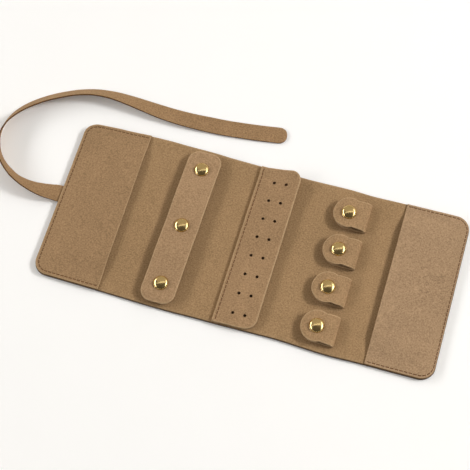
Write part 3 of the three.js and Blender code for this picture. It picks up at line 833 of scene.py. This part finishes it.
def make_earring_flap():
    def flap_face(x, y):
        out = max(x - FLAP_HINGE, 0.0) / (FLAP_FREE - FLAP_HINGE)
        rise = FLAP_RISE + FLAP_LEAN * y / HALF_WIDTH
        rise += FLAP_CURL * smooth((y - FLAP_CURL_FROM) / FLAP_CURL_OVER)
        sewn = base_lift(x, y) * (1 - smooth(out * 2))
        turning = PLY * (1 - smooth(out))
        off = (x - FLAP_LOW.x - FLAP_SEAM) / SEAM_GROOVE_WIDE
        groove = SEAM_GROOVE * math.exp(-off * off)
        slack = smooth(out * 3) * unevenness(x, y, *FLAP_SLACK)
        askew = FLAP_SKEW[0] + FLAP_SKEW[1] * y
        reach = plan(x, y)
        if y > 0:
            pulled = y + FLAP_PULL * smooth((y - FLAP_PULL_FROM) / FLAP_PULL_OVER)
            reach += (pulled - reach) * min(1.0, 1.3 * out)
        height = LINING_TOP + PLY + sewn + turning + rise * out ** 1.2 - groove + slack
        return Vector((x + askew, reach, height))

    def turning_face(x, y):
        spot = flap_face(x, y)
        return Vector((spot.x, spot.y, LINING_TOP + PLY + base_lift(x, y)))

    holes = [(x, HOLE_ROW_MIDDLE + ((HOLE_ROWS - 1) / 2 - row) * HOLE_PITCH)
             for x in HOLE_COLUMNS for row in range(HOLE_ROWS)]
    low = (FLAP_LOW.x, FLAP_LOW.y)
    high = (FLAP_FREE, -FLAP_LOW.y)
    flap = soft_sheet("earring_flap_ply", low, high, 1.35, (0, FLAP_CORNER), flap_face, PLY, FLAP_SUEDE,
                      SUEDE_EDGE, holes=holes)
    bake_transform(flap)
    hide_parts("earring_flap", "earring_flap_hem")
    turning = soft_sheet("earring_flap_turning", low, (FLAP_HINGE, high[1]), 1.35, (0, 0), turning_face,
                         PLY, FLAP_SUEDE, SUEDE_EDGE)
    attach(turning, "earring_panel")
    seam = [Vector((FLAP_LOW.x + FLAP_SEAM, y, 0)) for y in (high[1] - SEAM_END, low[1] + SEAM_END)]
    sew("earring_flap_stitches", seam, flap_face, "earring_panel")


make_earring_flap()


# Loop tabs: a strip folded back on itself, creased at the lining and arched up to its snap.

def make_loop_tabs():
    # Outer face of the strip as (x, z), from the end of its head round the fold to the end of its leg.
    outside = ((TAB_SNAP_X - TAB_HEAD_RADIUS, TAB_HEAD_TOP - 1.7), (TAB_SNAP_X - 6, TAB_HEAD_TOP - 0.3),
               (TAB_SNAP_X, TAB_HEAD_TOP), (TAB_SNAP_X + 5, TAB_HEAD_TOP),
               (TAB_SNAP_X + 9, TAB_HEAD_TOP - 0.1), (TAB_CREASE - 4.6, TAB_HEAD_TOP - 0.4),
               (TAB_CREASE - 2.6, TAB_HEAD_TOP - 1.0), (TAB_CREASE - 1.0, TAB_HEAD_TOP - 2.1),
               (TAB_CREASE, TAB_HEAD_TOP - 3.6), (TAB_CREASE + 0.3, TAB_HEAD_TOP - 5.0),
               (TAB_CREASE + 0.2, LINING_TOP + 1.0),
               (TAB_CREASE - 0.5, LINING_TOP + 0.25), (TAB_CREASE - 2.2, LINING_TOP),
               (TAB_CREASE - 8, LINING_TOP), (TAB_CREASE - 14, LINING_TOP), (TAB_LEG_END + 6, LINING_TOP),
               (TAB_LEG_END, LINING_TOP))
    line = through([(x, 0, z) for x, z in outside])
    total = distances(line)
    radius = TAB_HEAD_RADIUS

    def half_share(along):
        """Width of the strip as a share of the head's: a disc, a slight neck, then the strip."""
        off = (along - radius) / radius
        disc = math.sqrt(1 - off * off) if 0 < off < 1 else (1.0 if off <= 0 else 0.0)
        beside = (along - radius - TAB_NECK_AT) / TAB_NECK_REACH
        return max(disc, TAB_STRIP_HALF / radius) - TAB_NECK * math.exp(-beside * beside)

    for n, row in enumerate(TAB_ROWS, 1):
        def tab_face(along, over):
            spot, _ = at(line, total, along)
            y = row + over * half_share(along)
            upper = smooth((spot.z - LINING_TOP - PLY) / TAB_FREE)
            loose = min(1, abs(spot.x - TAB_SNAP_X) / TAB_EASE)
            slack = upper * unevenness(spot.x, y, *TAB_SLACK) * loose
            return spot + Vector((0, y, base_lift(spot.x, y) * (1 - upper) + slack))

        piece = soft_sheet(f"loop_tab_{n}_strip", (0, -radius), (total[-1], radius), 1.25,
                           (radius, radius), tab_face, PLY, TAB_SUEDE, SUEDE_EDGE)
        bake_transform(piece)
        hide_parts(f"loop_tab_{n}", f"loop_tab_{n}_leg")


make_loop_tabs()


# Snaps: a domed brass cap on top, a nickel socket under it, and the stud it closes on.
# Their profiles run from the axis out and back to it, as (radius, height).

def make_snaps():
    def dress(name, profile, centre, metal, slot, body, *nodes):
        piece = turned(name, profile, centre, metal)
        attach(piece, body)
        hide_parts(*nodes)

    snaps = [(f"ring_snap_{place}", body, "ring_panel") for place, body in
             (("near", "near_strap_half"), ("centre", "ring_panel"), ("far", "far_strap_half"))]
    snaps += [(f"tab_snap_{n}", f"tab_head_{n}", "loop_panel") for n in (1, 2, 3, 4)]
    for snap, head_body, base_body in snaps:
        low, high = span(f"{snap}_cap")
        centre = (low + high) / 2
        if base_body == "ring_panel":
            seat = RING_HIGH.z - CAP_SUNK
            centre.x += RING_SKEW[0] + RING_SKEW[1] * centre.y
        else:
            seat = TAB_HEAD_TOP - CAP_SUNK
            centre.x += TAB_SHIFT
        centre.z = seat
        shoulder = 1.8 * CAP_BEAD
        dome = arc(0, shoulder, CAP_RADIUS - 0.8 * CAP_BEAD, high.z - seat - shoulder, 90, 4, 14)
        bead = arc(CAP_RADIUS - CAP_BEAD, CAP_BEAD, CAP_BEAD, CAP_BEAD, 70, -90, 8)
        dress(f"{snap}_dome", dome + bead + [(0, 0)], centre, BRASS, "brass", head_body, f"{snap}_cap")

        low, high = span(f"{snap}_socket")
        r = (high.x - low.x) / 2
        tall = high.z - low.z
        centre.z = low.z
        roof = tall - 0.9
        hollow = [(0, roof), (2.9, roof), (3.1, roof - 0.2), (3.1, 0.9), (2.95, 0.6)]
        lip = arc(3.5, 0.5, 0.55, 0.5, 180, 360, 8)
        flange = [(4.15, 1.0), (4.3, roof - 0.4), (r - 0.3, roof - 0.1)] + \
            arc(r - 0.35, tall - 0.45, 0.35, 0.45, -60, 90, 6)
        dress(f"{snap}_socket_ring", hollow + lip + flange + [(0, tall)], centre, NICKEL, "snap_metal",
              head_body, f"{snap}_socket")

        low, high = span(f"{snap}_stud")
        r = (high.x - low.x) / 2
        tall = high.z - low.z
        centre.z = low.z
        foot = [(0, 0), (r - 0.2, 0)] + arc(r - 0.25, 0.3, 0.25, 0.3, -60, 90, 5)
        neck = [(3.0, 0.62), (2.45, 0.8), (2.2, 1.1), (2.15, tall - 1.5), (2.3, tall - 1.2)]
        ball = arc(1.9, tall - 0.75, 0.7, 0.75, -20, 90, 8)
        dimple = [(1.2, tall - 0.1), (0.8, tall - 0.6), (0, tall - 0.7)]
        dress(f"{snap}_stud_ball", foot + neck + ball + dimple, centre, NICKEL, "snap_metal", base_body,
              f"{snap}_stud", f"{snap}_post")


make_snaps()


# Table and studio.

def lay_table():
    white, tree, place = start_material("matt white table top")
    speck = cloud(tree, place, 40)["Fac"]
    colour = between(tree, speck, linear("#f6f5f3"), linear("#f9f8f6"))
    path = add_node(tree, "ShaderNodeLightPath").outputs
    seen = add_node(tree, "ShaderNodeMath", {
        0: path["Is Camera Ray"], 1: path["Is Glossy Ray"]}, operation="MAXIMUM").outputs[0]
    seen = add_node(tree, "ShaderNodeMath", {
        0: seen, 1: path["Is Transmission Ray"]}, operation="MAXIMUM").outputs[0]
    # The lamps reach only so far, so the table pales by itself from half a metre out to three.
    distance = add_node(tree, "ShaderNodeVectorMath", {0: place}, operation="LENGTH").outputs["Value"]
    glow = ranged(tree, distance, 0.1, 0.9, start=0.5, end=3.0)
    paler = add_node(tree, "ShaderNodeMath", {0: seen, 1: glow}, operation="MULTIPLY").outputs[0]
    finish_material(tree, {
        "Base Color": colour, "Roughness": 0.9, "Specular IOR Level": 0.1,
        "Emission Color": (1, 1, 1, 1), "Emission Strength": paler})
    bm = bmesh.new()
    bmesh.ops.create_grid(bm, x_segments=2, y_segments=2, size=TABLE_HALF)
    bmesh.ops.translate(bm, vec=(0, 0, -TABLE_DROP), verts=bm.verts[:])
    finish_piece("table_top", bm, white)


def paint_room():
    """A dim room with one pale wall at the back."""
    world = bpy.data.worlds.new("studio")
    scene.world = world
    world.use_nodes = True
    tree = world.node_tree
    tree.nodes.clear()
    looking = add_node(tree, "ShaderNodeTexCoord").outputs["Generated"]
    facing = add_node(tree, "ShaderNodeVectorMath", {
        0: looking, 1: (-0.1, 0.86, 0.5)}, operation="DOT_PRODUCT").outputs["Value"]
    glow = ranged(tree, facing, 0.1, 0.46, start=0.56, end=0.75, interpolation_type="SMOOTHSTEP")
    back = add_node(tree, "ShaderNodeBackground", {"Color": linear("#fff6e8"), "Strength": glow})
    add_node(tree, "ShaderNodeOutputWorld", {"Surface": back.outputs[0]})


def hang_lamps():
    """A long softbox to the right, brightest at its middle, one to the left, and a strip overhead."""
    # Each lamp has a place and a size in metres, and a power.
    lamps = (("key", (1.79, 0.69, 1.44), (3.0, 0.85), 19.0),
             ("key_middle", (1.79, 0.69, 1.44), (0.6, 0.4), 31.0),
             ("fill", (-2.12, -0.26, 1.09), (3.0, 0.65), 39.0),
             ("overhead", (-0.16, 0.33, 1.45), (2.0, 0.16), 1.1))
    for name, place, size, power in lamps:
        data = bpy.data.lights.new(name, "AREA")
        data.shape = "RECTANGLE"
        data.size = size[0]
        data.size_y = size[1]
        data.energy = power
        lamp = bpy.data.objects.new(name, data)
        lamp.location = place
        lamp.rotation_euler = (-Vector(place)).to_track_quat("-Z", "Y").to_euler()
        lamp.visible_camera = False
        scene.collection.objects.link(lamp)


lay_table()
paint_room()
hang_lamps()
